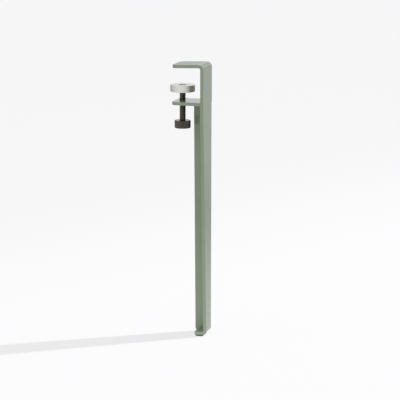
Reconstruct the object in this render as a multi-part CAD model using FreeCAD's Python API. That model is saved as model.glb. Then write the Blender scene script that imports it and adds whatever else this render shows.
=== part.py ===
import FreeCAD, Part
import math
import os

# Clamp-on table leg: a folded steel leg with a screw clamp at its top end.
# Millimetres. +Z is up, the jaws point to -X, and the leg's front edge faces -Y.
# Shapes are drawn with X from the band's outer face and Y from the jaws' front edge.
# The finished pieces are moved so that the origin is the middle of the foot pad's underside.

# Overall size and sheet
HEIGHT = 430.0
SHEET = 5.0

# Band
CLAMP_WIDTH = 48.0
BEND_INNER_RADIUS = 3.0
TAPER_START_HEIGHT = 350.0
FOOT_SETBACK = 19.0

# Flange, folded forward to the jaws' side along the band's back edge
LEG_DEPTH = 52.0
FOLD_INNER_RADIUS = 2.0
FLANGE_REACH_TOP = 28.8
FLANGE_REACH_FOOT = 25.8
FLANGE_FOOT_CORNER = 4.5
RELIEF_HEIGHT = 0.8
RELIEF_DEPTH = 1.0

# Jaws
UPPER_JAW_REACH = 51.2
UPPER_JAW_DROOP_DEG = 2.2
LOWER_JAW_REACH = 51.8
LOWER_JAW_TOP = 371.6
JAW_CORNER_RADIUS = 9.0
WELD_LEG = 3.5
WELD_START = 12.0

# Foot
TAB_REACH = 19.3
TAB_CORNER_RADIUS = 1.5
PAD_THICKNESS = 2.0
PAD_LENGTH_X = 12.0
PAD_LENGTH_Y = 25.6
PAD_CORNER_RADIUS = 2.0
PAD_FROM_FACE = 6.0
PAD_FROM_FRONT = 19.2

# Clamp screw, M10 with a socket head. The shank is drawn at the thread's pitch diameter.
SCREW_FROM_FACE = 40.0
SCREW_RADIUS = 4.5
TAPPED_HOLE_CLEARANCE = 0.05
HEAD_RADIUS = 8.0
HEAD_HEIGHT = 10.0
HEAD_RECESS = 0.8
SOCKET_ACROSS_FLATS = 8.0
SOCKET_DEPTH = 5.0
SPIGOT_RADIUS = 3.0
SPIGOT_END_FLOAT = 0.1
SCREW_CHAMFER = 0.4

# Knurled knob, pressed over the screw's head
KNOB_RADIUS = 12.4
KNOB_HEIGHT = 11.8
KNOB_BOTTOM = 328.6
KNOB_EDGE = 0.7
KNOB_SHANK_HOLE_RADIUS = 5.2

# Pressure disc and what keeps it on the spigot
DISC_RADIUS = 19.3
DISC_HEIGHT = 10.3
DISC_BOTTOM = 385.3
DISC_EDGE = 0.6
DISC_BORE_RADIUS = 3.05
COUNTERBORE_RADIUS = 5.75
COUNTERBORE_DEPTH = 5.0
WASHER_RADIUS = 4.5
WASHER_HOLE_RADIUS = 1.6
WASHER_THICKNESS = 0.8
SMALL_SCREW_RADIUS = 1.5
SMALL_SCREW_LENGTH = 8.0
SMALL_HEAD_RADIUS = 2.85
SMALL_HEAD_HEIGHT = 1.65
SMALL_SOCKET_ACROSS_FLATS = 2.0
SMALL_SOCKET_DEPTH = 1.0

# Worked out from the sizes above
BEND_OUTER_RADIUS = BEND_INNER_RADIUS + SHEET
FOLD_OUTER_RADIUS = FOLD_INNER_RADIUS + SHEET
FOLD_START = LEG_DEPTH - FOLD_OUTER_RADIUS
LOWER_JAW_UNDERSIDE = LOWER_JAW_TOP - SHEET
SCREW_X = -SCREW_FROM_FACE
SCREW_Y = CLAMP_WIDTH / 2
DISC_TOP = DISC_BOTTOM + DISC_HEIGHT
DISC_FLOOR = DISC_TOP - COUNTERBORE_DEPTH
SPIGOT_TOP = DISC_FLOOR + SPIGOT_END_FLOAT
HEAD_BOTTOM = KNOB_BOTTOM + HEAD_RECESS
HEAD_TOP = HEAD_BOTTOM + HEAD_HEIGHT
WASHER_TOP = SPIGOT_TOP + WASHER_THICKNESS
ORIGIN_X = PAD_FROM_FACE + PAD_LENGTH_X / 2
ORIGIN_Y = -(PAD_FROM_FRONT + PAD_LENGTH_Y / 2)

# Reach of the plain blocks that trim a shape past its own surface
BEYOND = 10.0

UP = FreeCAD.Vector(0, 0, 1)


def side_point(x, z):
    """A point of a side outline, in the plane of the front edge."""
    return FreeCAD.Vector(x, 0, z)


def plan_point(x, y, z=0.0):
    """A point of a plan outline at height z."""
    return FreeCAD.Vector(x, y, z)


def polar(centre, radius, angle_deg, point):
    """The point at an angle on a circle, made by side_point or plan_point."""
    angle = math.radians(angle_deg)
    return point(centre[0] + radius * math.cos(angle), centre[1] + radius * math.sin(angle))


def arc(centre, radius, start_deg, end_deg, point):
    """An arc edge between two angles of a circle."""
    middle_deg = (start_deg + end_deg) / 2
    return Part.Arc(
        polar(centre, radius, start_deg, point),
        polar(centre, radius, middle_deg, point),
        polar(centre, radius, end_deg, point),
    ).toShape()


def line(start, end):
    """A straight edge."""
    return Part.LineSegment(start, end).toShape()


def prism(edges, direction):
    """A solid swept from a closed outline."""
    return Part.Face(Part.Wire(edges)).extrude(direction)


def polygon_prism(points, direction):
    """A solid swept from a closed outline of straight sides."""
    return Part.Face(Part.makePolygon(points + points[:1])).extrude(direction)


def rod(radius, bottom, top):
    """A cylinder on the screw's axis."""
    return Part.makeCylinder(radius, top - bottom, FreeCAD.Vector(SCREW_X, SCREW_Y, bottom), UP)


def hexagon_prism(across_flats, bottom, top):
    """A hexagonal bar on the screw's axis."""
    corner = across_flats / math.sqrt(3)
    centre = (SCREW_X, SCREW_Y)
    corners = [polar(centre, corner, 60.0 * k, plan_point) for k in range(6)]
    bar = polygon_prism(corners, UP * (top - bottom))
    bar.translate(UP * bottom)
    return bar


def circles_at(shape, radius, height):
    """The round edges of a turned shape with one radius at one height."""
    found = []
    for edge in shape.Edges:
        if not isinstance(edge.Curve, Part.Circle):
            continue
        same_radius = abs(edge.Curve.Radius - radius) < 0.01
        same_height = abs(edge.Curve.Center.z - height) < 0.01
        if same_radius and same_height:
            found.append(edge)
    return found


def upright_edges(shape, x, y):
    """The edges that stand straight up at one place of the plan."""
    found = []
    for edge in shape.Edges:
        centre = edge.CenterOfMass
        ends = [v.Point for v in edge.Vertexes]
        if len(ends) < 2 or abs(centre.x - x) > 0.5 or abs(centre.y - y) > 0.5:
            continue
        if abs(ends[0].z - ends[1].z) > 0.8 * SHEET:
            found.append(edge)
    return found


def bent_strip():
    """Upper jaw, band and foot tab as one bent strip, as deep as the jaws."""
    top_centre = (-BEND_OUTER_RADIUS, HEIGHT - BEND_OUTER_RADIUS)
    foot_centre = (-BEND_OUTER_RADIUS, PAD_THICKNESS + BEND_OUTER_RADIUS)
    top_angle = 90.0 + UPPER_JAW_DROOP_DEG
    droop = math.radians(UPPER_JAW_DROOP_DEG)
    jaw_outer = polar(top_centre, BEND_OUTER_RADIUS, top_angle, side_point)
    jaw_inner = polar(top_centre, BEND_INNER_RADIUS, top_angle, side_point)
    run = (UPPER_JAW_REACH + jaw_outer.x) / math.cos(droop)
    along = FreeCAD.Vector(-math.cos(droop), 0, -math.sin(droop)) * run
    tip_outer = jaw_outer + along
    tip_inner = jaw_inner + along
    tab_top = PAD_THICKNESS + SHEET
    edges = [
        line(side_point(0, foot_centre[1]), side_point(0, top_centre[1])),
        arc(top_centre, BEND_OUTER_RADIUS, 0, top_angle, side_point),
        line(jaw_outer, tip_outer),
        line(tip_outer, tip_inner),
        line(tip_inner, jaw_inner),
        arc(top_centre, BEND_INNER_RADIUS, top_angle, 0, side_point),
        line(side_point(-SHEET, top_centre[1]), side_point(-SHEET, foot_centre[1])),
        arc(foot_centre, BEND_INNER_RADIUS, 0, -90, side_point),
        line(side_point(foot_centre[0], tab_top), side_point(-TAB_REACH, tab_top)),
        line(side_point(-TAB_REACH, tab_top), side_point(-TAB_REACH, PAD_THICKNESS)),
        line(side_point(-TAB_REACH, PAD_THICKNESS), side_point(foot_centre[0], PAD_THICKNESS)),
        arc(foot_centre, BEND_OUTER_RADIUS, -90, 0, side_point),
    ]
    return prism(edges, FreeCAD.Vector(0, CLAMP_WIDTH, 0))


def band_outline():
    """The block that trims the strip: slanted front edge, and a back edge that steps in for the fold."""
    left = -UPPER_JAW_REACH - BEYOND
    outline = [
        (0, HEIGHT + BEYOND),
        (0, TAPER_START_HEIGHT),
        (FOOT_SETBACK, PAD_THICKNESS + BEND_OUTER_RADIUS),
        (FOOT_SETBACK, -BEYOND),
        (FOLD_START, -BEYOND),
        (FOLD_START, LOWER_JAW_UNDERSIDE),
        (CLAMP_WIDTH, LOWER_JAW_UNDERSIDE),
        (CLAMP_WIDTH, HEIGHT + BEYOND),
    ]
    points = [FreeCAD.Vector(left, y, z) for y, z in outline]
    return polygon_prism(points, FreeCAD.Vector(BEYOND - left, 0, 0))


def flange_outline():
    """The block that trims the flange: slanted free edge and rounded bottom corners."""
    left_corner = (-FLANGE_REACH_FOOT + FLANGE_FOOT_CORNER, PAD_THICKNESS + FLANGE_FOOT_CORNER)
    right_corner = (-BEND_OUTER_RADIUS, PAD_THICKNESS + BEND_OUTER_RADIUS)
    left_start = polar(left_corner, FLANGE_FOOT_CORNER, 180, side_point)
    left_end = polar(left_corner, FLANGE_FOOT_CORNER, 270, side_point)
    right_start = polar(right_corner, BEND_OUTER_RADIUS, 270, side_point)
    right_end = polar(right_corner, BEND_OUTER_RADIUS, 360, side_point)
    edges = [
        line(side_point(-FLANGE_REACH_TOP, LOWER_JAW_UNDERSIDE), left_start),
        arc(left_corner, FLANGE_FOOT_CORNER, 180, 270, side_point),
        line(left_end, right_start),
        arc(right_corner, BEND_OUTER_RADIUS, 270, 360, side_point),
        line(right_end, side_point(0, LOWER_JAW_UNDERSIDE)),
        line(side_point(0, LOWER_JAW_UNDERSIDE), side_point(-FLANGE_REACH_TOP, LOWER_JAW_UNDERSIDE)),
    ]
    return prism(edges, FreeCAD.Vector(0, LEG_DEPTH + BEYOND, 0))


def folded_flange():
    """The fold along the band's back edge and the flange beside it."""
    centre = (-FOLD_OUTER_RADIUS, FOLD_START)
    left = -FLANGE_REACH_TOP - BEYOND
    edges = [
        arc(centre, FOLD_OUTER_RADIUS, 0, 90, plan_point),
        line(plan_point(-FOLD_OUTER_RADIUS, LEG_DEPTH), plan_point(left, LEG_DEPTH)),
        line(plan_point(left, LEG_DEPTH), plan_point(left, LEG_DEPTH - SHEET)),
        line(plan_point(left, LEG_DEPTH - SHEET), plan_point(-FOLD_OUTER_RADIUS, LEG_DEPTH - SHEET)),
        arc(centre, FOLD_INNER_RADIUS, 90, 0, plan_point),
        line(plan_point(-SHEET, FOLD_START), plan_point(0, FOLD_START)),
    ]
    full = prism(edges, UP * (HEIGHT + BEYOND))
    return full.common(flange_outline())


def bend_relief():
    """The slot at the fold's top end that lets the flange bend clear of the jaws' end of the band."""
    corner = FreeCAD.Vector(
        -FOLD_OUTER_RADIUS, FOLD_START - RELIEF_DEPTH, LOWER_JAW_UNDERSIDE - RELIEF_HEIGHT
    )
    return Part.makeBox(
        FOLD_OUTER_RADIUS + BEYOND, FOLD_OUTER_RADIUS + BEYOND, RELIEF_HEIGHT, corner
    )


def leg_sheet():
    """The folded sheet: upper jaw, band, flange and foot tab in one piece."""
    strip = bent_strip().common(band_outline())
    tip_edges = [
        edge for y in (0.0, CLAMP_WIDTH) for edge in upright_edges(strip, -UPPER_JAW_REACH, y)
    ]
    strip = strip.makeFillet(JAW_CORNER_RADIUS, tip_edges)
    tab_edges = [
        edge for y in (FOOT_SETBACK, FOLD_START) for edge in upright_edges(strip, -TAB_REACH, y)
    ]
    strip = strip.makeFillet(TAB_CORNER_RADIUS, tab_edges)
    return strip.fuse(folded_flange()).removeSplitter().cut(bend_relief())


def lower_jaw():
    """Plate welded across the band, with the tapped hole that carries the screw."""
    length = LOWER_JAW_REACH - SHEET
    corner = FreeCAD.Vector(-LOWER_JAW_REACH, 0, LOWER_JAW_UNDERSIDE)
    plate = Part.makeBox(length, CLAMP_WIDTH, SHEET, corner)
    tip_edges = [
        edge for y in (0.0, CLAMP_WIDTH) for edge in upright_edges(plate, -LOWER_JAW_REACH, y)
    ]
    plate = plate.makeFillet(JAW_CORNER_RADIUS, tip_edges)
    hole = rod(
        SCREW_RADIUS + TAPPED_HOLE_CLEARANCE, LOWER_JAW_UNDERSIDE - BEYOND, LOWER_JAW_TOP + BEYOND
    )
    return plate.cut(hole)


def weld_bead(start, end, away):
    """A three-sided bead from start to end under the jaw, its foot pointing away from the wall."""
    down = UP * -WELD_LEG
    section = Part.makePolygon([start, start + away * WELD_LEG, start + down, start])
    return Part.Face(section).extrude(end - start)


def jaw_welds():
    """Beads in the corners under the lower jaw, along the band and along the flange."""
    z = LOWER_JAW_UNDERSIDE
    wall = LEG_DEPTH - SHEET
    along_band = weld_bead(
        FreeCAD.Vector(-SHEET, WELD_START, z),
        FreeCAD.Vector(-SHEET, FOLD_START, z),
        FreeCAD.Vector(-1, 0, 0),
    )
    along_flange = weld_bead(
        FreeCAD.Vector(-FOLD_OUTER_RADIUS, wall, z),
        FreeCAD.Vector(-FLANGE_REACH_TOP + FOLD_INNER_RADIUS, wall, z),
        FreeCAD.Vector(0, -1, 0),
    )
    return along_band.fuse(along_flange).removeSplitter()


def foot_pad():
    """Glide glued under the foot tab."""
    corner = FreeCAD.Vector(-PAD_FROM_FACE - PAD_LENGTH_X, PAD_FROM_FRONT, 0)
    pad = Part.makeBox(PAD_LENGTH_X, PAD_LENGTH_Y, PAD_THICKNESS, corner)
    uprights = [
        edge for edge in pad.Edges if abs(edge.Vertexes[0].Z - edge.Vertexes[1].Z) > 0.5 * PAD_THICKNESS
    ]
    return pad.makeFillet(PAD_CORNER_RADIUS, uprights)


def clamp_screw():
    """Socket-head screw whose tip is a spigot for the disc, tapped for the small screw."""
    head = rod(HEAD_RADIUS, HEAD_BOTTOM, HEAD_TOP)
    head = head.makeChamfer(SCREW_CHAMFER, circles_at(head, HEAD_RADIUS, HEAD_BOTTOM))
    shank = rod(SCREW_RADIUS, HEAD_TOP, DISC_BOTTOM)
    shank = shank.makeChamfer(SCREW_CHAMFER, circles_at(shank, SCREW_RADIUS, DISC_BOTTOM))
    spigot = rod(SPIGOT_RADIUS, DISC_BOTTOM, SPIGOT_TOP)
    screw = head.fuse([shank, spigot])
    socket = hexagon_prism(SOCKET_ACROSS_FLATS, HEAD_BOTTOM - BEYOND, HEAD_BOTTOM + SOCKET_DEPTH)
    tip_hole = rod(SMALL_SCREW_RADIUS, SPIGOT_TOP - SMALL_SCREW_LENGTH, SPIGOT_TOP + BEYOND)
    return screw.cut(socket).cut(tip_hole).removeSplitter()


def knurled_knob():
    """Collar pressed over the screw's head, reaching a little below it."""
    knob_top = KNOB_BOTTOM + KNOB_HEIGHT
    knob = rod(KNOB_RADIUS, KNOB_BOTTOM, knob_top)
    rims = circles_at(knob, KNOB_RADIUS, KNOB_BOTTOM) + circles_at(knob, KNOB_RADIUS, knob_top)
    knob = knob.makeChamfer(KNOB_EDGE, rims)
    knob = knob.cut(rod(HEAD_RADIUS, KNOB_BOTTOM - BEYOND, HEAD_TOP))
    return knob.cut(rod(KNOB_SHANK_HOLE_RADIUS, HEAD_TOP - BEYOND, knob_top + BEYOND))


def pressure_disc():
    """Turned disc that bears on the board, with a bore for the spigot."""
    disc = rod(DISC_RADIUS, DISC_BOTTOM, DISC_TOP)
    rims = circles_at(disc, DISC_RADIUS, DISC_BOTTOM) + circles_at(disc, DISC_RADIUS, DISC_TOP)
    disc = disc.makeChamfer(DISC_EDGE, rims)
    disc = disc.cut(rod(DISC_BORE_RADIUS, DISC_BOTTOM - BEYOND, DISC_TOP + BEYOND))
    return disc.cut(rod(COUNTERBORE_RADIUS, DISC_FLOOR, DISC_TOP + BEYOND))


def disc_washer():
    """Washer on the spigot's end, wider than the disc's bore."""
    washer = rod(WASHER_RADIUS, SPIGOT_TOP, WASHER_TOP)
    return washer.cut(rod(WASHER_HOLE_RADIUS, SPIGOT_TOP - BEYOND, WASHER_TOP + BEYOND))


def disc_screw():
    """Small button-head screw that holds the washer on the spigot."""
    head_top = WASHER_TOP + SMALL_HEAD_HEIGHT
    head = rod(SMALL_HEAD_RADIUS, WASHER_TOP, head_top)
    head = head.makeFillet(
        0.8 * SMALL_HEAD_HEIGHT, circles_at(head, SMALL_HEAD_RADIUS, head_top)
    )
    shank = rod(SMALL_SCREW_RADIUS, SPIGOT_TOP - SMALL_SCREW_LENGTH, WASHER_TOP)
    socket = hexagon_prism(
        SMALL_SOCKET_ACROSS_FLATS, head_top - SMALL_SOCKET_DEPTH, head_top + BEYOND
    )
    return head.fuse(shank).cut(socket).removeSplitter()


def save(name, shape):
    """Moves a finished piece into the part's frame and writes it."""
    placed = shape.copy()
    placed.translate(FreeCAD.Vector(ORIGIN_X, ORIGIN_Y, 0))
    solids = placed.Solids
    if not placed.isValid() or len(solids) != 1:
        raise RuntimeError(f"{name} is not one valid solid")
    solids[0].exportStep(f"parts/{name}.step")
    box = placed.BoundBox
    print(f"{name}: {placed.Volume:.0f} mm3, z {box.ZMin:.2f} to {box.ZMax:.2f}")


PIECES = {
    "leg_sheet": leg_sheet,
    "lower_jaw": lower_jaw,
    "jaw_welds": jaw_welds,
    "foot_pad": foot_pad,
    "clamp_screw": clamp_screw,
    "knurled_knob": knurled_knob,
    "pressure_disc": pressure_disc,
    "disc_washer": disc_washer,
    "disc_screw": disc_screw,
}

os.makedirs("parts", exist_ok=True)
for piece_name, make_piece in PIECES.items():
    save(piece_name, make_piece())
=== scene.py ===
"""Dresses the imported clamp-on table leg with its finished pieces, materials and studio.

Sizes are millimetres from the band's outer face, the jaws' front edge and the floor,
with the jaws pointing to -X. The function at() turns such a place into metres of the
part's own frame, whose origin is the middle of the foot pad's underside.
"""

import logging
import math
from collections.abc import Callable, Iterator, Sequence
from contextlib import contextmanager
from dataclasses import dataclass, field
from enum import Enum

import bmesh
import bpy
from mathutils import Matrix, Vector


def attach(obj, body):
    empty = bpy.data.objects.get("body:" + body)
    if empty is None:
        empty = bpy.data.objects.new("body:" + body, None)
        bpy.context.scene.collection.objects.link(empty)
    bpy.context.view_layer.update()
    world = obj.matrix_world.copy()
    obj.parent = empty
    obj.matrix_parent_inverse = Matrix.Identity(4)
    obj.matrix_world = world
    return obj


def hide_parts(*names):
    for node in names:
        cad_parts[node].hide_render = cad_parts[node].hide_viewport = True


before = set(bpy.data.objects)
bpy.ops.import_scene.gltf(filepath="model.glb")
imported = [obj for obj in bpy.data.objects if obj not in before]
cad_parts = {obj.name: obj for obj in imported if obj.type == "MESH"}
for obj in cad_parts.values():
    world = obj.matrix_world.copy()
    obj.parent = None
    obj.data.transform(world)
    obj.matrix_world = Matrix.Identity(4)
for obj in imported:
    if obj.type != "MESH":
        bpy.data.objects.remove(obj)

LOG = logging.getLogger("table_leg")
MM = 0.001
ORIGIN_X = 12.0
ORIGIN_Y = -32.0
SCREW_X = -40.0
SCREW_Y = 24.0
FRAME_PIXELS = 400
SENSOR_MM = 36.0
WHITE = (1.0, 1.0, 1.0, 1.0)

# Lengths count as the same within this many millimetres.
NEAR = 0.02
# A point counts as on a cutting plane within this many metres.
CUT = 1e-7
# A wave texture of scale 1 turns through one radian in this length.
WAVE_RADIAN = 0.05
RANGE_INPUTS = ("Value", "From Min", "From Max", "To Min", "To Max")
NODE_SPACING = 200

PlaceTest = Callable[[Vector], bool]
Station = tuple[float, float]
Triple = tuple[float, float, float]
Socket = bpy.types.NodeSocket
Inputs = dict[str | int, object]
Looks = tuple[Socket, Socket, Socket]


def at(x: float, y: float, z: float) -> Vector:
    """Turns a place in millimetres on the leg into metres of the part's frame."""
    return Vector((x + ORIGIN_X, y + ORIGIN_Y, z)) * MM


def back_to_mm(point: Vector) -> Vector:
    """Turns a place in the part's frame back into millimetres on the leg."""
    return Vector((point.x / MM - ORIGIN_X, point.y / MM - ORIGIN_Y, point.z / MM))


def near(length: float, *goals: float) -> bool:
    """Whether a length in millimetres is one of the goals."""
    return any(abs(length - goal) < NEAR for goal in goals)


def from_screw(place: Vector) -> float:
    """How many millimetres a place is from the screw's axis."""
    return math.hypot(place.x - SCREW_X, place.y - SCREW_Y)


def set_up(target: object, settings: dict[str, object]) -> None:
    """Gives something its settings by name."""
    for name, value in settings.items():
        setattr(target, name, value)


class Axis(Enum):
    """The directions that the sheet is bent about."""

    Y = (0.0, 1.0, 0.0)
    Z = (0.0, 0.0, 1.0)


class Part(Enum):
    """What a selection is made of: Blender's name for it, and for its selection mode."""

    POINTS = ("verts", "VERT")
    EDGES = ("edges", "EDGE")
    FACES = ("faces", "FACE")


class Ends(Enum):
    """How a turned outline ends."""

    BORED = "comes back to its first station, round a bore"
    FOOT_FILLED = "filled at its first station, and left open at its last"
    BOTH_FILLED = "filled at both ends"


class Shape:
    """One piece while it is modelled, with Blender's own modelling tools."""

    def __init__(self, name: str) -> None:
        """Takes over the primitive that was just added, and names it."""
        self.obj = bpy.context.active_object
        self.obj.name = self.obj.data.name = name

    def settle(self) -> "Shape":
        """Measures the piece's points from the part's origin, and no longer from its own."""
        bpy.ops.object.transform_apply()
        return self

    @staticmethod
    def add_circle(radius: float, height: float, sides: int) -> None:
        """Adds a circle of straight edges round the screw's axis."""
        place = at(SCREW_X, SCREW_Y, height)
        bpy.ops.mesh.primitive_circle_add(vertices=sides, radius=radius * MM, location=place)

    @classmethod
    def plate(cls, name: str, low: Sequence[float], high: Sequence[float]) -> "Shape":
        """Starts a piece from a block.

        Args:
            name: What the piece is called.
            low: The block's lowest corner, in millimetres on the leg.
            high: Its highest corner.

        Returns:
            The new shape.
        """
        size = [b - a for a, b in zip(low, high)]
        middle = [(a + b) / 2 for a, b in zip(low, high)]
        bpy.ops.mesh.primitive_cube_add(size=MM, location=at(*middle), scale=size)
        return cls(name).settle()

    @classmethod
    def turned(cls, name: str, stations: Sequence[Station], sides: int, ends: Ends) -> "Shape":
        """Turns a piece on the screw's axis.

        Args:
            name: What the piece is called.
            stations: Radius and height of each corner of its outline.
            sides: How many straight sides make up its circles.
            ends: How the outline ends.

        Returns:
            The new shape.
        """
        cls.add_circle(*stations[0], sides)
        shape = cls(name).settle()
        with shape.editing():
            shape.pick()
            if ends is Ends.BORED:
                shape.turn_outline([*stations, stations[0]])
                shape.pick()
                bpy.ops.mesh.remove_doubles(threshold=NEAR * MM / 2)
            else:
                bpy.ops.mesh.edge_face_add()
                shape.pick()
                shape.turn_outline(stations)
            if ends is Ends.BOTH_FILLED:
                bpy.ops.mesh.edge_face_add()
            if ends is not Ends.FOOT_FILLED:
                shape.face_outwards()
        return shape

    def activate(self) -> None:
        """Selects the piece alone and makes it the active one."""
        bpy.ops.object.select_all(action="DESELECT")
        self.obj.select_set(True)
        bpy.context.view_layer.objects.active = self.obj

    @contextmanager
    def editing(self) -> Iterator[None]:
        """Opens the piece in edit mode with nothing selected, and closes it again.

        Yields:
            Nothing, while the piece is open.
        """
        self.activate()
        bpy.ops.object.mode_set(mode="EDIT")
        bpy.ops.mesh.select_all(action="DESELECT")
        yield
        bpy.ops.object.mode_set(mode="OBJECT")

    def pick(self, test: PlaceTest | None = None, part: Part = Part.EDGES) -> None:
        """Selects what lies where the test says, and nothing else.

        Args:
            test: Takes the middle of a point, edge or face, in millimetres on the leg.
                Without a test, everything is selected.
            part: Points, edges or faces.
        """
        kind, mode = part.value
        bpy.ops.mesh.select_mode(type=mode)
        bpy.ops.mesh.select_all(action="DESELECT" if test else "SELECT")
        if test is None:
            return
        mesh = bmesh.from_edit_mesh(self.obj.data)
        for item in getattr(mesh, kind):
            corners = [item.co] if part is Part.POINTS else [v.co for v in item.verts]
            if test(back_to_mm(sum(corners, Vector()) / len(corners))):
                item.select_set(True)
        mesh.select_flush_mode()
        bmesh.update_edit_mesh(self.obj.data)

    def pick_sharp(self, least: float, spare: PlaceTest) -> None:
        """Selects every sharp edge, apart from those that the test spares.

        Args:
            least: The least angle in degrees that counts as sharp.
            spare: Takes the middle of an edge, in millimetres on the leg.
        """
        bpy.ops.mesh.select_mode(type="EDGE")
        bpy.ops.mesh.select_all(action="DESELECT")
        bpy.ops.mesh.edges_select_sharp(sharpness=math.radians(least))
        mesh = bmesh.from_edit_mesh(self.obj.data)
        for edge in mesh.edges:
            if edge.select and spare(back_to_mm((edge.verts[0].co + edge.verts[1].co) / 2)):
                edge.select_set(False)
        mesh.select_flush_mode()
        bmesh.update_edit_mesh(self.obj.data)

    def pull(self, x: float, y: float, z: float) -> None:
        """Extrudes what is selected by a step in millimetres."""
        step = Vector((x, y, z)) * MM
        bpy.ops.mesh.extrude_region_move(TRANSFORM_OT_translate={"value": step})

    def move(self, x: float, y: float, z: float) -> None:
        """Moves what is selected by a step in millimetres."""
        bpy.ops.transform.translate(value=Vector((x, y, z)) * MM)

    def widen(self, times: float, height: float) -> None:
        """Scales what is selected away from the screw's axis, at a height."""
        centre = at(SCREW_X, SCREW_Y, height)
        bpy.ops.transform.resize(value=(times, times, 1.0), center_override=centre)

    def swing(self, axis: Axis, centre: Triple, degrees: float, steps: int) -> None:
        """Extrudes what is selected round an axis.

        Args:
            axis: The direction of the axis.
            centre: A place on it, in millimetres on the leg.
            degrees: How far to go, by the right-hand rule.
            steps: How many steps to take.
        """
        turn = -math.radians(degrees)
        bpy.ops.mesh.spin(
            steps=steps, angle=turn, center=at(*centre), axis=axis.value, use_auto_merge=False
        )

    def round_off(self, radius: float, steps: int, part: Part = Part.EDGES) -> None:
        """Rounds the selected corners or edges.

        Args:
            radius: The radius in millimetres.
            steps: How many flats make up the rounding.
            part: Edges, or points for the corners of an open sheet.
        """
        bpy.ops.mesh.bevel(
            offset=radius * MM,
            segments=steps,
            affect="VERTICES" if part is Part.POINTS else "EDGES",
            clamp_overlap=False,
            miter_outer="ARC",
        )

    def turn_outline(self, stations: Sequence[Station]) -> None:
        """Carries the selected circle on through the stations of a turned outline.

        Args:
            stations: Radius and height of each corner, starting with the circle's own.
        """
        for (radius, height), (next_radius, next_height) in zip(stations, stations[1:]):
            self.pull(0, 0, next_height - height)
            self.widen(next_radius / radius, next_height)

    def face_outwards(self) -> None:
        """Turns every face of a closed piece outwards."""
        self.pick()
        bpy.ops.mesh.normals_make_consistent(inside=False)

    def trim(self, place: Vector, outwards: Sequence[float]) -> None:
        """Cuts the piece off along a plane, and closes the cut.

        Args:
            place: A place on the plane, in metres of the part's frame.
            outwards: The plane's direction, towards what is cut off.
        """
        self.pick()
        bpy.ops.mesh.bisect(
            plane_co=place, plane_no=outwards, use_fill=True, clear_outer=True, threshold=CUT
        )

    def modify(self, kind: str, **settings: object) -> None:
        """Adds a modifier and applies it.

        Args:
            kind: The modifier's type.
            **settings: Its settings by name.
        """
        self.activate()
        modifier = self.obj.modifiers.new(kind.title(), kind)
        set_up(modifier, settings)
        bpy.ops.object.modifier_apply(modifier=modifier.name)

    def cut_away(self, tool: "Shape") -> None:
        """Takes another shape's room out of this one, and deletes that shape."""
        self.modify("BOOLEAN", operation="DIFFERENCE", solver="EXACT", object=tool.obj)
        bpy.data.objects.remove(tool.obj)

    def join(self, *others: "Shape") -> None:
        """Makes other shapes part of this one.

        Args:
            *others: The other shapes, which are gone afterwards.
        """
        self.activate()
        for shape in others:
            shape.obj.select_set(True)
        bpy.ops.object.join()

    def smooth(self, up_to: float = 32.0) -> "Shape":
        """Shades curved stretches smoothly and keeps flats flat.

        Args:
            up_to: The widest angle between two faces that still counts as curved.

        Returns:
            The finished shape.
        """
        self.activate()
        bpy.ops.object.shade_smooth_by_angle(angle=math.radians(up_to))
        self.modify("WEIGHTED_NORMAL", keep_sharp=True, weight=50)
        return self


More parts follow.
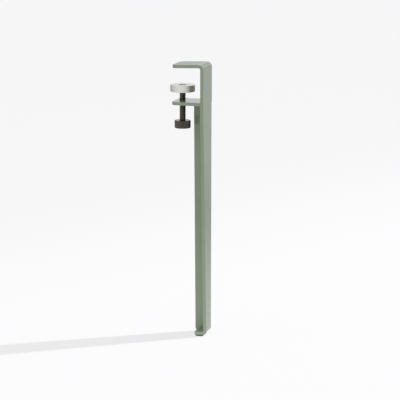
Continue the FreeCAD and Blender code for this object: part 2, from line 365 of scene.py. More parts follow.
class Wiring:
    """A node tree while it is wired up."""

    def __init__(self, owner: bpy.types.Material | bpy.types.World) -> None:
        """Takes over the nodes of a material or of the world."""
        owner.use_nodes = True
        self.nodes, self.links = owner.node_tree.nodes, owner.node_tree.links

    def add(
        self, kind: str, inputs: Inputs | None = None, output: str | int = 0, **settings: object
    ) -> Socket:
        """Adds a node.

        Args:
            kind: The node's type, after Blender's own ShaderNode.
            inputs: Values or output sockets by input name or number. None changes nothing.
            output: The name or number of the output that is wanted.
            **settings: The node's own settings.

        Returns:
            That output.
        """
        node = self.nodes.new("ShaderNode" + kind)
        node.location = (-NODE_SPACING * len(self.nodes), 0)
        set_up(node, settings)
        for name, value in (inputs or {}).items():
            if value is not None:
                self.feed(node.inputs[name], value)
        return node.outputs[output]

    def close(self, kind: str, surface: Socket) -> None:
        """Adds the output node of a material or a world, and gives it the surface."""
        self.feed(self.nodes.new("ShaderNodeOutput" + kind).inputs["Surface"], surface)

    def feed(self, socket: Socket, value: object) -> None:
        """Gives an input a value, or links an output to it.

        Args:
            socket: The input.
            value: The value or the output.
        """
        if isinstance(value, bpy.types.NodeSocket):
            self.links.new(value, socket)
        else:
            socket.default_value = value

    def math(self, operation: str, *values: Socket | float) -> Socket:
        """A number worked out from others by one operation."""
        return self.add("Math", dict(enumerate(values)), operation=operation)

    def along(self, place: Socket, way: Triple) -> Socket:
        """How far a place lies along a direction."""
        return self.add("VectorMath", {0: place, 1: way}, "Value", operation="DOT_PRODUCT")

    def level(self, place: Socket) -> Socket:
        """The upright part of a place or direction."""
        return self.add("SeparateXYZ", {"Vector": place}, "Z")

    def place(self, centre: Vector | None = None) -> Socket:
        """The place on the piece that patterns follow, from a centre if one is given."""
        coordinates = self.add("TexCoord", output="Object")
        return coordinates if centre is None else self.mapped(coordinates, Location=-centre)

    def mapped(self, place: Socket, **changes: Sequence[float]) -> Socket:
        """Moves or stretches the place that patterns follow."""
        return self.add("Mapping", {"Vector": place, **changes})

    def noise(self, place: Socket, size: float, detail: float = 2.0) -> Socket:
        """Uneven patches from 0 to 1, by their width in millimetres and their finer layers."""
        return self.add("TexNoise", {"Vector": place, "Scale": 1.0 / (size * MM), "Detail": detail})

    def stretch(
        self, value: Socket, result: Station, start: Station = (0.3, 0.7), way: str = "LINEAR"
    ) -> Socket:
        """Turns one range of a value, by default an uneven one's middle, into another."""
        inputs = dict(zip(RANGE_INPUTS, (value, *start, *result)))
        return self.add("MapRange", inputs, interpolation_type=way)

    def blend(self, value: Socket, first: Triple, second: Triple) -> Socket:
        """Mixes two colours by a value.

        Args:
            value: A value output.
            first: The colour where it is 0.
            second: The colour where it is 1.

        Returns:
            A colour output.
        """
        ramp = self.add("ValToRGB", {"Fac": value})
        for point, colour in zip(ramp.node.color_ramp.elements, (first, second)):
            point.color = (*colour, 1.0)
        return ramp

    def profile(self, value: Socket, stations: Sequence[Station]) -> Socket:
        """Follows a line through some stations.

        Args:
            value: A value output.
            stations: Values and what they become, from the lowest value up.

        Returns:
            A value output.
        """
        reach = stations[-1][0]
        most = max(result for station, result in stations)
        ramp = self.add("ValToRGB", {"Fac": self.math("DIVIDE", value, reach)})
        points = ramp.node.color_ramp.elements
        points.remove(points[1])
        for number, (station, result) in enumerate(stations):
            point = points.new(station / reach) if number else points[0]
            point.position = station / reach
            point.color = (*[result / most] * 3, 1.0)
        return self.math("MULTIPLY", ramp, most)

    def between(self, factor: Socket, first: object, second: object) -> Socket:
        """A number that goes from the first to the second as the factor goes from 0 to 1."""
        return self.add("Mix", {"Factor": factor, "A": first, "B": second})

    def emboss(self, height: Socket, depth: float, under: Socket | None = None) -> Socket:
        """Raises a surface by a value, at most as many millimetres as its depth."""
        return self.add("Bump", {"Height": height, "Distance": depth * MM, "Normal": under})


@dataclass(frozen=True)
class Finish:
    """What a surface is made of: two tones in patches, and an uneven gloss.

    Patches are given by their width in millimetres and their finer layers. Above a height,
    the surface may be faced off to another gloss.
    """

    name: str
    slot: str
    light: Triple
    dark: Triple
    roughness: Station
    patches: Station
    metallic: float = 0.0
    faced_above: float | None = None
    faced_roughness: float = 0.26

    def wire(self, wiring: Wiring) -> Looks:
        """Sets up the material's colour, roughness and normal outputs."""
        raise NotImplementedError

    def gloss(self, wiring: Wiring, value: Socket) -> Socket:
        """The roughness, uneven by a value and different on a faced top.

        Args:
            wiring: The material's nodes.
            value: A value output.

        Returns:
            A value output.
        """
        gloss = wiring.stretch(value, self.roughness)
        if self.faced_above is None:
            return gloss
        level = wiring.level(wiring.place())
        above = wiring.math("GREATER_THAN", level, self.faced_above * MM)
        return wiring.between(above, gloss, self.faced_roughness)

    def put_on(self, obj: bpy.types.Object) -> None:
        """Gives a piece the finish's material, and nothing else. The material is made once.

        Args:
            obj: The piece.
        """
        material = bpy.data.materials.get(self.name)
        if material is None:
            material = bpy.data.materials.new(self.name)
            wiring = Wiring(material)
            inputs = wiring.nodes["Principled BSDF"].inputs
            inputs["Metallic"].default_value = self.metallic
            for name, value in zip(("Base Color", "Roughness", "Normal"), self.wire(wiring)):
                wiring.feed(inputs[name], value)
        obj.data.materials.clear()
        obj.data.materials.append(material)


@dataclass(frozen=True)
class Coat(Finish):
    """A surface with layers of fine grain, each given by its width, finer layers and depth."""

    gloss_patches: Station | None = None
    grains: tuple[Triple, ...] = ()

    def wire(self, wiring: Wiring) -> Looks:
        """Sets up the patches, the gloss and the grain, one layer on the other.

        Args:
            wiring: The material's nodes.

        Returns:
            Its colour, roughness and normal outputs.
        """
        place = wiring.place()
        patches = wiring.noise(place, *self.patches)
        uneven = wiring.noise(place, *self.gloss_patches) if self.gloss_patches else patches
        surface = None
        for width, detail, depth in self.grains:
            surface = wiring.emboss(wiring.noise(place, width, detail), depth, surface)
        return wiring.blend(patches, self.dark, self.light), self.gloss(wiring, uneven), surface


@dataclass(frozen=True)
class PowderCoat(Coat):
    """Semi-gloss powder coat with faint colour drift and a fine orange peel."""

    light: Triple = (0.259, 0.322, 0.225)
    dark: Triple = (0.243, 0.304, 0.211)
    roughness: Station = (0.1, 0.14)
    patches: Station = (14.0, 3.0)
    gloss_patches: Station | None = (5.0, 4.0)
    grains: tuple[Triple, ...] = ((1.3, 2.0, 0.003), (0.35, 1.0, 0.00075))


@dataclass(frozen=True)
class BlackOxide(Coat):
    """Blackened steel, mottled and with an uneven film of oil."""

    light: Triple = (0.195, 0.164, 0.116)
    dark: Triple = (0.1, 0.084, 0.058)
    roughness: Station = (0.3, 0.48)
    patches: Station = (1.6, 4.0)
    metallic: float = 0.85
    faced_roughness: float = 0.22
    gloss_patches: Station | None = (2.4, 3.0)
    grains: tuple[Triple, ...] = ((0.25, 2.0, 0.006),)


@dataclass(frozen=True)
class GlideRubber(Coat):
    """Matt black rubber of the foot's glide, dusty and with a fine moulded grain."""

    light: Triple = (0.045, 0.045, 0.047)
    dark: Triple = (0.025, 0.025, 0.026)
    roughness: Station = (0.72, 0.88)
    patches: Station = (3.0, 4.0)
    grains: tuple[Triple, ...] = ((0.3, 2.0, 0.02),)


@dataclass(frozen=True)
class TurnedMetal(Finish):
    """Lathe-turned bright metal with fine rings round the screw's axis."""

    light: Triple = (0.775, 0.775, 0.74)
    dark: Triple = (0.695, 0.695, 0.665)
    roughness: Station = (0.22, 0.34)
    patches: Station = (3.0, 3.0)
    metallic: float = 1.0
    streak_size: float = 1.2
    patch_flattening: float = 2.5
    streak_stretch: Triple = (0.1, 0.1, 12.0)
    ring_radian: float = 0.35
    ring_wobble: float = 0.6
    ring_depth: float = 0.004

    def wire(self, wiring: Wiring) -> Looks:
        """Sets up the turning rings and slightly uneven brightness.

        Args:
            wiring: The material's nodes.

        Returns:
            Its colour, roughness and normal outputs.
        """
        place = wiring.place(at(SCREW_X, SCREW_Y, 0.0))
        flattened = wiring.mapped(place, Scale=(1.0, 1.0, self.patch_flattening))
        patches = wiring.noise(flattened, *self.patches)
        scale = WAVE_RADIAN / (self.ring_radian * MM)
        rings = wiring.add(
            "TexWave",
            {"Vector": place, "Scale": scale, "Distortion": self.ring_wobble, "Detail": 2.0},
            "Fac",
            wave_type="RINGS",
            rings_direction="Z",
        )
        drawn = wiring.noise(wiring.mapped(place, Scale=self.streak_stretch), self.streak_size)
        ringed = wiring.emboss(rings, self.ring_depth)
        colour = wiring.blend(patches, self.dark, self.light)
        return colour, self.gloss(wiring, drawn), wiring.emboss(drawn, self.ring_depth, ringed)


SAGE_COAT = PowderCoat("sage_powder_coat", "leg_paint")
DISC_METAL = TurnedMetal(
    "turned_aluminium", "disc_aluminium", roughness=(0.5, 0.6), faced_above=395.5
)
ZINC = TurnedMetal(
    "zinc_plate", "zinc_steel", (0.66, 0.66, 0.64), (0.52, 0.52, 0.50), ring_radian=0.2
)
SCREW_BLACK = BlackOxide("blackened_screw", "screw_steel")
KNOB_BLACK = BlackOxide(
    "blackened_knob", "knob_steel", (0.142, 0.126, 0.1), (0.078, 0.067, 0.052), faced_above=340.3
)
RUBBER = GlideRubber("glide_rubber", "pad_rubber")


def dress(shape: Shape, finish: Finish, body: str, node: str) -> None:
    """Gives a finished piece its material, and puts it in a node's place.

    Args:
        shape: The finished piece.
        finish: What it is made of.
        body: The body that it moves with.
        node: The node that it stands for.
    """
    obj = shape.obj
    finish.put_on(obj)
    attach(obj, body)
    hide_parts(node)
    LOG.info("%s: %d faces on %s, for %s", obj.name, len(obj.data.polygons), body, node)


def dress_node(node: str, finish: Finish) -> None:
    """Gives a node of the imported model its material."""
    finish.put_on(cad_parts[node])
    LOG.info("%s: kept as packed", node)


@dataclass
class FoldedSheet:
    """The folded steel sheet: upper jaw, band, flange and foot tab."""

    height: float = 430.0
    sheet: float = 5.0
    clamp_width: float = 48.0
    leg_depth: float = 52.0
    bend_radius: float = 8.0
    fold_radius: float = 7.0
    bend_steps: int = 12
    droop: float = 2.2
    jaw_reach: float = 51.2
    jaw_corner: float = 9.0
    jaw_underside: float = 366.6
    relief: float = 0.8
    relief_depth: float = 1.0
    slit_end: float = 0.8
    taper_start: float = 350.0
    foot_setback: float = 19.0
    pad: float = 2.0
    tab_reach: float = 19.3
    tab_corner: float = 1.5
    flange_top_reach: float = 28.8
    flange_foot_reach: float = 25.8
    flange_corner: float = 4.5
    edge_width: float = 0.55
    sharp_angle: float = 40.0
    shape: Shape = field(init=False)

    def __post_init__(self) -> None:
        """Works out where the bends, the fold and the relief slot start."""
        self.top = self.height - self.bend_radius
        self.foot = self.pad + self.bend_radius
        self.fold_start = self.leg_depth - self.fold_radius
        self.relief_foot = self.jaw_underside - self.relief

    def build(self) -> None:
        """Folds the sheet up from a flat face, gives it its thickness and dresses it."""
        bpy.ops.mesh.primitive_plane_add(
            size=MM,
            location=at(0, self.clamp_width / 2, (self.top + self.jaw_underside) / 2),
            rotation=(0, math.radians(90), 0),
        )
        bpy.ops.transform.resize(value=(1.0, self.clamp_width, self.top - self.jaw_underside))
        self.shape = shape = Shape("leg_sheet_coated").settle()
        with shape.editing():
            self.draw_band()
            self.fold_flange()
            self.bend_foot()
            self.bend_jaw()
            self.set_outside()
        shape.modify("SOLIDIFY", thickness=self.sheet * MM, offset=-1.0, use_even_offset=True)
        with shape.editing():
            shape.pick_sharp(self.sharp_angle, self.ends_a_slit)
            shape.round_off(self.edge_width, steps=3)
        dress(shape.smooth(), SAGE_COAT, "leg", "leg_sheet")

    def ends_a_slit(self, place: Vector) -> bool:
        """Whether an edge is at the end of the slit over the fold or of the one at the foot.

        Args:
            place: The edge's middle.

        Returns:
            True where it is.
        """
        over_fold = (
            near(place.x, -self.sheet / 2)
            and near(place.y, self.fold_start - self.relief_depth)
            and abs(place.z - self.jaw_underside + self.relief / 2) < self.relief
        )
        at_foot = (
            place.x > -self.sheet - self.slit_end
            and abs(place.y - self.fold_start) < self.slit_end
            and abs(place.z - self.foot) < self.slit_end
        )
        return at_foot or over_fold

    def draw_band(self) -> None:
        """Draws the band from the jaws down to the foot."""
        shape = self.shape
        start = self.fold_start - self.relief_depth
        middle = self.clamp_width / 2
        shape.pick(lambda p: near(p.z, self.jaw_underside))
        bpy.ops.mesh.subdivide(number_cuts=1)
        shape.pick(lambda p: near(p.z, self.jaw_underside) and near(p.y, middle), Part.POINTS)
        shape.move(0, start - middle, 0)
        shape.pick(lambda p: near(p.z, self.jaw_underside) and p.y < start - NEAR)
        shape.pull(0, 0, -self.relief)
        shape.pull(0, 0, self.taper_start - self.relief_foot)
        shape.pull(0, 0, self.foot - self.taper_start)
        shape.pick(self.is_under_relief)
        shape.pull(0, self.relief_depth, 0)
        shape.pick(self.is_under_relief)
        bpy.ops.mesh.dissolve_edges(use_verts=True)
        shape.pick(lambda p: near(p.z, self.foot) and p.y < NEAR, Part.POINTS)
        shape.move(0, self.foot_setback, 0)

    def is_under_relief(self, place: Vector) -> bool:
        """Whether a place is in line with the relief slot's inner end, and below the slot."""
        return near(place.y, self.fold_start - self.relief_depth) and place.z < self.relief_foot

    def fold_flange(self) -> None:
        """Folds the flange up along the band's back edge, and slants its free edge."""
        shape = self.shape
        fold, bend = self.fold_radius, self.bend_radius
        shape.pick(lambda p: near(p.y, self.fold_start) and self.foot < p.z < self.relief_foot)
        shape.swing(Axis.Z, (-fold, self.fold_start, 0), 90, self.bend_steps)
        shape.pull(fold - bend, 0, 0)
        shape.pick(lambda p: near(p.x, -bend) and p.z > self.relief_foot - NEAR, Part.POINTS)
        shape.move(0, 0, self.relief)
        shape.pick(lambda p: near(p.x, -bend) and p.y > self.fold_start)
        shape.pull(bend - self.flange_top_reach, 0, 0)
        turns = [math.radians(90 * k / self.bend_steps) for k in range(1, self.bend_steps + 1)]
        for x in (*[-fold * (1 - math.cos(turn)) for turn in turns], -bend, -self.flange_top_reach):
            self.drop_corner(x)
        slant = self.flange_top_reach - self.flange_foot_reach
        whole = self.jaw_underside - self.pad
        for z in (self.taper_start, self.pad):
            shape.pick(
                lambda p, z=z: near(p.z, z) and near(p.x, -self.flange_top_reach), Part.POINTS
            )
            shape.move(slant * (self.jaw_underside - z) / whole, 0, 0)
        shape.pick(lambda p: near(p.z, self.pad) and p.x < -bend - NEAR, Part.POINTS)
        shape.round_off(self.flange_corner, steps=6, part=Part.POINTS)

    def drop_corner(self, x: float) -> None:
        """Moves one bottom corner of the fold down to the leg's rounded foot line.

        Args:
            x: How far it is from the band's outer face, less than zero.
        """
        self.shape.pick(
            lambda p: near(p.x, x) and near(p.z, self.foot) and p.y > self.fold_start + NEAR,
            Part.POINTS,
        )
        across = max(0.0, self.bend_radius + x)
        self.shape.move(0, 0, -math.sqrt(self.bend_radius**2 - across**2))

    def bend_foot(self) -> None:
        """Bends the foot tab under the jaws, and rounds its corners."""
        shape = self.shape
        shape.pick(lambda p: near(p.x, 0) and near(p.z, self.foot) and p.y < self.fold_start)
        shape.swing(Axis.Y, (-self.bend_radius, 0, self.foot), 90, self.bend_steps)
        shape.pull(self.bend_radius - self.tab_reach, 0, 0)
        shape.pick(lambda p: near(p.x, -self.tab_reach) and near(p.z, self.pad), Part.POINTS)
        shape.round_off(self.tab_corner, steps=4, part=Part.POINTS)

    def bend_jaw(self) -> None:
        """Bends the upper jaw over, a little past square, and rounds its corners."""
        shape = self.shape
        bend, tilt = self.bend_radius, math.radians(self.droop)
        shape.pick(lambda p: near(p.z, self.top))
        shape.swing(Axis.Y, (-bend, 0, self.top), -90 - self.droop, self.bend_steps)
        run = self.jaw_reach - bend - bend * math.sin(tilt)
        shape.pull(-run, 0, -run * math.tan(tilt))
        shape.pick(lambda p: near(p.x, -self.jaw_reach) and p.z > self.top, Part.POINTS)
        shape.round_off(self.jaw_corner, steps=10, part=Part.POINTS)

    def set_outside(self) -> None:
        """Makes every face point to the sheet's outer side."""
        self.shape.face_outwards()
        mesh = bmesh.from_edit_mesh(self.shape.obj.data)
        largest = max(mesh.faces, key=lambda face: face.calc_area())
        on_band = near(back_to_mm(largest.calc_center_median()).x, 0)
        if largest.normal.dot(Vector((1, 0, 0) if on_band else Axis.Y.value)) < 0:
            bpy.ops.mesh.flip_normals()


@dataclass
class LowerJaw:
    """The plate that carries the screw."""

    underside: float = 366.6
    top: float = 371.6
    reach: float = 51.8
    sheet: float = 5.0
    depth: float = 48.0
    corner: float = 9.0
    hole: float = 5.05
    countersink: float = 5.6
    edge_width: float = 0.55
    drill_beyond: float = 1.0
    drill_sides: int = 64

    def build(self) -> None:
        """Rounds the plate's free corners and edges, drills its hole and dresses it."""
        low = (-self.reach, 0, self.underside)
        shape = Shape.plate("lower_jaw_coated", low, (-self.sheet, self.depth, self.top))
        middle = (self.underside + self.top) / 2
        with shape.editing():
            shape.pick(
                lambda p: near(p.x, -self.reach) and near(p.y, 0, self.depth) and near(p.z, middle)
            )
            shape.round_off(self.corner, steps=10)
            shape.pick(lambda p: near(p.z, self.underside, self.top) and p.x < -self.sheet - NEAR)
            shape.round_off(self.edge_width, steps=3)
        beyond, slope = self.drill_beyond, self.countersink - self.hole
        below = (self.countersink + beyond, self.underside - beyond)
        above = (self.countersink + beyond, self.top + beyond)
        bore = [(self.hole, self.underside + slope), (self.hole, self.top - slope)]
        stations = [below, *bore, above]
        shape.cut_away(Shape.turned("drill", stations, self.drill_sides, Ends.BOTH_FILLED))
        dress(shape.smooth(), SAGE_COAT, "leg", "lower_jaw")


@dataclass
class JawWelds:
    """The welded seams in the corners under the lower jaw."""

    underside: float = 366.6
    inner_face: float = -5.0
    flange_face: float = 47.0
    band_seam: Station = (13.5, 30.0)
    flange_seam: Station = (-8.5, 17.0)
    ripple_pitch: float = 2.1
    ripple_radius: float = 3.4
    ripple_thickness: float = 0.62
    bite: float = 0.15
    voxel: float = 0.32

    def build(self) -> None:
        """Lays both seams, from their start and length, and dresses them."""
        start, length = self.band_seam
        along_band = self.seam("jaw_welds_coated", (self.inner_face, start), (0, 1), length)
        start, length = self.flange_seam
        along_band.join(self.seam("flange_seam", (start, self.flange_face), (-1, 0), length))
        dress(along_band.smooth(up_to=80.0), SAGE_COAT, "leg", "jaw_welds")

    def seam(self, name: str, start: Station, way: tuple[int, int], length: float) -> Shape:
        """Lays one seam of overlapping ripples and trims it to the corner.

        Args:
            name: What the seam is called.
            start: Where it starts, in plan.
            way: The direction it runs in, in plan.
            length: How long it is.

        Returns:
            The seam.
        """
        centre = at(*start, self.underside)
        bpy.ops.mesh.primitive_uv_sphere_add(
            segments=20, ring_count=12, radius=self.ripple_radius * MM, location=centre
        )
        shape = Shape(name).settle()
        squeeze = [self.ripple_thickness if step else 1.0 for step in way]
        with shape.editing():
            shape.pick()
            bpy.ops.transform.resize(value=(*squeeze, 1.0), center_override=centre)
        shape.modify(
            "ARRAY",
            count=int(length / self.ripple_pitch) + 1,
            use_relative_offset=False,
            use_constant_offset=True,
            constant_offset_displace=Vector((*way, 0.0)) * self.ripple_pitch * MM,
        )
        shape.modify("REMESH", mode="VOXEL", voxel_size=self.voxel * MM)
        shape.modify("SMOOTH", factor=0.5, iterations=3)
        wall = at(self.inner_face + self.bite, self.flange_face + self.bite, 0)
        with shape.editing():
            shape.trim(wall, [0.0 if step else 1.0 for step in way] + [0.0])
            shape.trim(at(0, 0, self.underside + self.bite), (0, 0, 1))
        return shape


@dataclass
class FootPad:
    """The glide under the foot."""

    near_end: float = 6.0
    length: float = 12.0
    front: float = 19.2
    depth: float = 25.6
    thickness: float = 2.0
    corner: float = 2.0
    edge_width: float = 0.3
    sharp_angle: float = 40.0

    def build(self) -> None:
        """Rounds the glide's corners and its top and bottom edges, and dresses it."""
        low = (-self.near_end - self.length, self.front, 0)
        high = (-self.near_end, self.front + self.depth, self.thickness)
        shape = Shape.plate("foot_glide", low, high)
        with shape.editing():
            shape.pick(lambda p: near(p.z, self.thickness / 2))
            shape.round_off(self.corner, steps=6)
            shape.pick_sharp(self.sharp_angle, lambda p: False)
            shape.round_off(self.edge_width, steps=3)
        dress(shape.smooth(), RUBBER, "leg", "foot_pad")


@dataclass
class Leg:
    """Everything that stands still."""

    sheet: FoldedSheet = field(default_factory=FoldedSheet)
    jaw: LowerJaw = field(default_factory=LowerJaw)
    welds: JawWelds = field(default_factory=JawWelds)
    pad: FootPad = field(default_factory=FootPad)

    def build(self) -> None:
        """Builds and dresses the sheet, the lower jaw, its welds and the glide."""
        for piece in (self.sheet, self.jaw, self.welds, self.pad):
            piece.build()


@dataclass
class PressureDisc:
    """The turned disc on the screw's tip."""

    radius: float = 19.29
    bottom: float = 385.3
    top: float = 395.6
    bore: float = 3.05
    counterbore: float = 5.75
    floor: float = 390.6
    rim: float = 0.6
    inner_rim: float = 0.3
    sides: int = 144

    def build(self) -> None:
        """Turns the disc, rounds its rims and dresses it."""
        stations = [
            (self.bore, self.bottom),
            (self.radius, self.bottom),
            (self.radius, self.top),
            (self.counterbore, self.top),
            (self.counterbore, self.floor),
            (self.bore, self.floor),
        ]
        shape = Shape.turned("pressure_disc_turned", stations, self.sides, Ends.BORED)
        with shape.editing():
            shape.pick(self.on_rim(self.radius))
            shape.round_off(self.rim, steps=3)
            shape.pick(self.on_rim(self.counterbore))
            shape.round_off(self.inner_rim, steps=2)
            shape.face_outwards()
        dress(shape.smooth(), DISC_METAL, "disc", "pressure_disc")

    def on_rim(self, radius: float) -> PlaceTest:
        """A test for the round edges of one radius at the disc's top or bottom."""
        return lambda p: near(from_screw(p), radius) and near(p.z, self.bottom, self.top)


@dataclass
class ThreadedScrew:
    """The clamp screw: socket head, threaded shank and the spigot for the disc."""

    head_radius: float = 8.0
    head_bottom: float = 329.4
    head_top: float = 339.4
    head_edge: float = 0.4
    socket_corner: float = 8.0 / math.sqrt(3)
    socket_depth: float = 5.0
    socket_edge: float = 0.3
    drill_point: float = 0.8
    crest: float = 4.97
    root: float = 4.08
    pitch: float = 1.5
    shoulder: float = 385.3
    spigot: float = 3.0
    spigot_top: float = 390.7
    spigot_edge: float = 0.3
    sides: int = 48

    def build(self) -> None:
        """Models the head, thread and spigot as closed shells of one piece, and dresses it."""
        spigot = [
            (self.spigot, self.shoulder),
            (self.spigot, self.spigot_top - self.spigot_edge),
            (self.spigot - self.spigot_edge, self.spigot_top),
        ]
        shape, thread = self.build_head(), self.build_thread()
        shape.join(thread, Shape.turned("spigot", spigot, self.sides, Ends.BOTH_FILLED))
        dress(shape.smooth(), SCREW_BLACK, "screw", "clamp_screw")

    def build_head(self) -> Shape:
        """Models the head with its hexagon socket.

        Returns:
            The head.
        """
        corner, edge = self.socket_corner, self.socket_edge
        bottom, floor = self.head_bottom, self.head_bottom + self.socket_depth
        socket = [(corner, floor), (corner, bottom + edge), (corner + edge, bottom)]
        outside = [
            (self.head_radius - self.head_edge, bottom),
            (self.head_radius, bottom + self.head_edge),
            (self.head_radius, self.head_top),
        ]
        Shape.add_circle(*socket[0], 6)
        shape = Shape("clamp_screw_threaded").settle()
        with shape.editing():
            shape.pick()
            bpy.ops.mesh.edge_face_add()
            bpy.ops.mesh.poke(offset=self.drill_point * MM)
            shape.pick(lambda p: near(p.z, floor))
            shape.turn_outline(socket)
            bpy.ops.mesh.select_all(action="DESELECT")
            shape.add_circle(*outside[0], self.sides)
            shape.turn_outline(outside)
            bpy.ops.mesh.edge_face_add()
            shape.pick(lambda p: near(p.z, bottom))
            bpy.ops.mesh.bridge_edge_loops()
            shape.face_outwards()
        return shape

    def build_thread(self) -> Shape:
        """Models the threaded shank, from a tooth's outline wound up the axis.

        A metric thread's crest is an eighth of its pitch wide, and its root a quarter. The
        outline is drawn from one point, which a small triangle is merged into.

        Returns:
            The shank.
        """
        crest, root = self.pitch / 8, self.pitch / 4
        flank = (self.pitch - crest - root) / 2
        tooth = [
            (self.root, 0.0),
            (self.crest, flank),
            (self.crest, flank + crest),
            (self.root, 2 * flank + crest),
            (self.root, self.pitch),
        ]
        merge = NEAR * MM / 4
        Shape.add_circle(1.0, self.head_top - self.pitch, 3)
        shape = Shape("thread")
        with shape.editing():
            shape.pick(part=Part.POINTS)
            bpy.ops.mesh.merge(type="CENTER")
            shape.move(self.root, 0, 0)
            for (radius, height), (next_radius, next_height) in zip(tooth, tooth[1:]):
                shape.pull(next_radius - radius, 0, next_height - height)
        shape.modify(
            "SCREW",
            screw_offset=self.pitch * MM,
            iterations=math.ceil((self.shoulder - self.head_top) / self.pitch) + 2,
            steps=self.sides,
            render_steps=self.sides,
            use_merge_vertices=True,
            merge_threshold=merge,
        )
        shape.settle()
        with shape.editing():
            shape.pick()
            bpy.ops.mesh.remove_doubles(threshold=merge)
            shape.trim(at(0, 0, self.head_top), (0, 0, -1))
            shape.trim(at(0, 0, self.shoulder), (0, 0, 1))
            shape.face_outwards()
        return shape


@dataclass
class KnurledKnob:
    """The knurled collar that is pressed over the screw's head."""

    radius: float = 12.4
    bottom: float = 328.6
    top: float = 340.4
    edge: float = 0.7
    head_radius: float = 8.0
    head_top: float = 339.4
    shank_hole: float = 5.2
    teeth: int = 64
    rows: int = 14
    knurl_depth: float = 0.32

    def __post_init__(self) -> None:
        """Works out where the knurl starts and ends, and how high one row of it is."""
        self.low, self.high = self.bottom + self.edge, self.top - self.edge
        self.pitch = (self.high - self.low) / self.rows

    def build(self) -> None:
        """Turns the collar, presses the diamond knurl into its rim and dresses it."""
        stations = [
            (self.head_radius, self.bottom),
            (self.radius - self.edge, self.bottom),
            *[(self.radius, self.low + self.pitch * k) for k in range(self.rows + 1)],
            (self.radius - self.edge, self.top),
            (self.shank_hole, self.top),
            (self.shank_hole, self.head_top),
            (self.head_radius, self.head_top),
        ]
        shape = Shape.turned("knob_knurled", stations, 2 * self.teeth, Ends.BORED)
        with shape.editing():
            shape.pick(self.is_valley, Part.POINTS)
            shape.widen(1 - self.knurl_depth / self.radius, self.low)
            shape.pick(self.is_on_rim, Part.FACES)
            bpy.ops.mesh.quads_convert_to_tris(quad_method="SHORTEST_DIAGONAL")
            shape.face_outwards()
        dress(shape.smooth(up_to=20.0), KNOB_BLACK, "screw", "knurled_knob")

    def is_on_rim(self, place: Vector) -> bool:
        """Whether a place is on the knurled rim."""
        on_rim = from_screw(place) > self.radius - 2 * self.knurl_depth
        return on_rim and self.low - NEAR < place.z < self.high + NEAR

    def is_valley(self, place: Vector) -> bool:
        """Whether a point is a valley of the knurl, as every second one of a row is.

        Args:
            place: The point.

        Returns:
            True where it is.
        """
        angle = math.atan2(place.y - SCREW_Y, place.x - SCREW_X)
        column = round(angle / math.pi * self.teeth)
        row = round((place.z - self.low) / self.pitch)
        return self.is_on_rim(place) and (column + row) % 2 == 1


@dataclass
class SmallScrew:
    """The button-head screw that keeps the disc on its spigot."""

    shank: float = 1.5
    shank_bottom: float = 382.7
    head_bottom: float = 391.5
    head_radius: float = 2.85
    dome: tuple[Station, ...] = ((1.0, 0.35), (0.93, 0.75), (0.8, 1.15), (0.62, 1.48), (0.45, 1.65))
    socket_corner: float = 2.0 / math.sqrt(3)
    socket_depth: float = 1.0
    sides: int = 36

    def build(self) -> None:
        """Turns the screw, sinks its socket and dresses it. Its dome is in shares of its radius."""
        dome = [(self.head_radius * share, self.head_bottom + z) for share, z in self.dome]
        top = dome[-1][1]
        stations = [
            (self.shank, self.shank_bottom),
            (self.shank, self.head_bottom),
            (self.head_radius, self.head_bottom),
            *dome,
        ]
        shape = Shape.turned("disc_screw_button", stations, self.sides, Ends.FOOT_FILLED)
        with shape.editing():
            shape.add_circle(self.socket_corner, top - self.socket_depth, 6)
            bpy.ops.mesh.edge_face_add()
            shape.pick(lambda p: near(p.z, top - self.socket_depth))
            shape.pull(0, 0, self.socket_depth)
            shape.pick(lambda p: near(p.z, top))
            bpy.ops.mesh.bridge_edge_loops()
            shape.face_outwards()
        dress(shape.smooth(), ZINC, "screw", "disc_screw")


@dataclass
class ScrewSet:
    """Everything that turns with the clamp screw."""

    screw: ThreadedScrew = field(default_factory=ThreadedScrew)
    knob: KnurledKnob = field(default_factory=KnurledKnob)
    small_screw: SmallScrew = field(default_factory=SmallScrew)

    def build(self) -> None:
        """Builds and dresses the screw, its knob and what keeps the disc on."""
        for piece in (self.screw, self.knob, self.small_screw):
            piece.build()
        dress_node("disc_washer", ZINC)


@dataclass(frozen=True)
class Viewpoint:
    """The camera's place and lens."""

    azimuth: float = 16.451
    pitch: float = 11.080
    roll: float = 0.105
    distance: float = 3262.889
    focal_pixels: float = 2102.834
    target: Triple = (-20.0, 25.0, 215.0)
    shift_right: float = 7.530
    shift_up: float = 0.697

    def build(self) -> None:
        """Sets the camera up and makes it the scene's own."""
        a, e, r = (math.radians(v) for v in (self.azimuth, self.pitch, self.roll))
        back = Vector((math.sin(a) * math.cos(e), -math.cos(a) * math.cos(e), math.sin(e)))
        level = Vector((math.cos(a), math.sin(a), 0))
        upright = back.cross(level)
        right = math.cos(r) * level + math.sin(r) * upright
        up = math.cos(r) * upright - math.sin(r) * level
        offset = (self.shift_right * right + self.shift_up * up + self.distance * back) * MM
        lens = bpy.data.cameras.new("camera")
        lens.sensor_width = SENSOR_MM
        lens.lens = self.focal_pixels * SENSOR_MM / FRAME_PIXELS
        camera = bpy.data.objects.new("camera", lens)
        turn = Matrix((right, up, back)).transposed().to_4x4()
        camera.matrix_world = Matrix.Translation(at(*self.target) + offset) @ turn
        bpy.context.scene.collection.objects.link(camera)
        bpy.context.scene.camera = camera


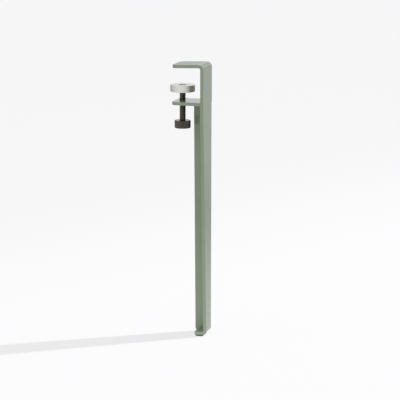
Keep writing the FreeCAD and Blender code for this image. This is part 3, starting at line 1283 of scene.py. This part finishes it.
@dataclass
class Studio:
    """A pale floor under plain soft light, with a lamp behind and to the right."""

    sky: float = 0.76
    plain_wall: float = 0.93
    wall_profile: tuple[Station, ...] = (
        (0.0, 0.5), (6.4, 0.55), (8.0, 1.38), (10.5, 1.3), (14.0, 0.9), (25.0, 0.82), (90.0, 0.85)
    )
    left_way: Triple = (-0.966, 0.259, 0.0)
    left_profile: tuple[Station, ...] = ((0.0, 1.0), (0.4, 0.97), (0.75, 0.75), (1.0, 0.4))
    floor_size: float = 40.0
    floor_tone: float = 0.12
    floor_tint: tuple[float, ...] = (0.984, 0.984, 1.0, 1.0)
    floor_glow: Station = (0.70, 0.745)
    glow_way: Triple = (0.86, -0.51, 0.0)
    glow_reach: Station = (-1.0, -0.2)
    floor_profile: tuple[Station, ...] = (
        (0.0, 0.84), (0.3, 0.73), (0.85, 0.37), (1.05, 0.33), (1.6, 0.5), (2.7, 0.52)
    )
    front_way: Triple = (-0.42, -0.91, 0.0)
    front_gain: float = 0.37
    lamp_azimuth: float = 33.5
    lamp_height: float = 45.0
    key_power: float = 12.0
    key_size: float = 1.0
    key_distance: float = 2.6
    shadow_strength: float = 5.2
    shadow_spread: float = 1.3

    def build(self) -> None:
        """Sets up the world, the floor and both lamps."""
        self.build_world()
        floor = self.build_floor()
        self.hang("key", "AREA", size=self.key_size, energy=self.key_power)
        spread = math.radians(self.shadow_spread)
        self.hang("shadow_lamp", "SUN", floor, angle=spread, energy=self.shadow_strength)
        bpy.context.scene.view_settings.view_transform = "Standard"

    @staticmethod
    def rays(wiring: Wiring) -> tuple[Socket, Socket]:
        """Which rays look straight, and which come off a gloss or through a glass.

        Args:
            wiring: The nodes of the floor or the world.

        Returns:
            A value output for each kind.
        """
        path = wiring.add("LightPath").node.outputs
        glossy = wiring.math("MAXIMUM", path["Is Glossy Ray"], path["Is Transmission Ray"])
        return path["Is Camera Ray"], glossy

    def build_world(self) -> None:
        """Even light from plain walls. A gloss sees them dim low down and bright above."""
        world = bpy.data.worlds.new("surroundings")
        wiring = Wiring(world)
        wiring.nodes.clear()
        way = wiring.add("TexCoord", output="Generated")
        steps = [(math.sin(math.radians(angle)), value) for angle, value in self.wall_profile]
        wall = self.less_to_the_left(wiring, way, wiring.profile(wiring.level(way), steps))
        straight, glossy = self.rays(wiring)
        strength = wiring.between(glossy, self.sky, wall)
        strength = wiring.between(straight, strength, self.plain_wall)
        wiring.close("World", wiring.add("Background", {"Color": WHITE, "Strength": strength}))
        bpy.context.scene.world = world

    def build_floor(self) -> bpy.types.Object:
        """A wide pale floor that glows to white and still takes shadows.

        To the leg it is brightest close by and in front, and dimmer on the left.

        Returns:
            The floor.
        """
        bpy.ops.mesh.primitive_plane_add(size=self.floor_size, location=(0, 0, 0))
        floor = bpy.context.active_object
        floor.name = "floor"
        material = bpy.data.materials.new("pale_floor")
        wiring = Wiring(material)
        wiring.nodes.clear()
        place = wiring.place()
        along = wiring.along(place, self.glow_way)
        seen = wiring.stretch(along, self.floor_glow, self.glow_reach, "SMOOTHSTEP")
        distance = wiring.add("VectorMath", {0: place}, "Value", operation="LENGTH")
        way = wiring.add("VectorMath", {0: place}, operation="NORMALIZE")
        plain = self.less_to_the_left(wiring, way, wiring.profile(distance, self.floor_profile))
        front = wiring.math("MAXIMUM", wiring.along(way, self.front_way), 0.0)
        around = wiring.math("MULTIPLY_ADD", front, self.front_gain, plain)
        straight, glossy = self.rays(wiring)
        strength = wiring.between(glossy, seen, around)
        glow = wiring.add("Emission", {"Color": self.floor_tint, "Strength": strength})
        shaded = wiring.add("BsdfDiffuse", {"Color": (self.floor_tone,) * 3 + (1.0,)})
        both = wiring.add("AddShader", {0: shaded, 1: glow})
        bounce = wiring.add("Emission", {"Color": WHITE, "Strength": around})
        direct = wiring.math("MAXIMUM", straight, glossy)
        wiring.close("Material", wiring.add("MixShader", {"Fac": direct, 1: bounce, 2: both}))
        floor.data.materials.append(material)
        return floor

    def less_to_the_left(self, wiring: Wiring, way: Socket, strength: Socket) -> Socket:
        """Dims a brightness, the more the further left of the leg its direction points."""
        share = wiring.profile(wiring.along(way, self.left_way), self.left_profile)
        return wiring.math("MULTIPLY", strength, share)

    def hang(
        self, name: str, kind: str, lit: bpy.types.Object | None = None, **settings: float
    ) -> None:
        """Hangs a lamp behind and to the right of the leg.

        Args:
            name: What the lamp is called.
            kind: The lamp's type.
            lit: The one object that it lights. Without one, it lights everything.
            **settings: The lamp's own settings.
        """
        light = bpy.data.lights.new(name, kind)
        set_up(light, settings)
        lamp = bpy.data.objects.new(name, light)
        a, e = math.radians(self.lamp_azimuth), math.radians(self.lamp_height)
        way = Vector((math.cos(a) * math.cos(e), math.sin(a) * math.cos(e), math.sin(e)))
        lamp.location = way * self.key_distance
        lamp.rotation_euler = way.to_track_quat("Z", "Y").to_euler()
        bpy.context.scene.collection.objects.link(lamp)
        if lit:
            receivers = bpy.data.collections.new("lit_by_" + name)
            receivers.objects.link(lit)
            lamp.light_linking.receiver_collection = receivers


def main() -> None:
    """Builds the leg, the disc and the screw in order, then the studio and the camera."""
    logging.basicConfig(level=logging.INFO, format="%(message)s")
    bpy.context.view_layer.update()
    Leg().build()
    PressureDisc().build()
    ScrewSet().build()
    Studio().build()
    Viewpoint().build()


if __name__ == "__main__":
    main()
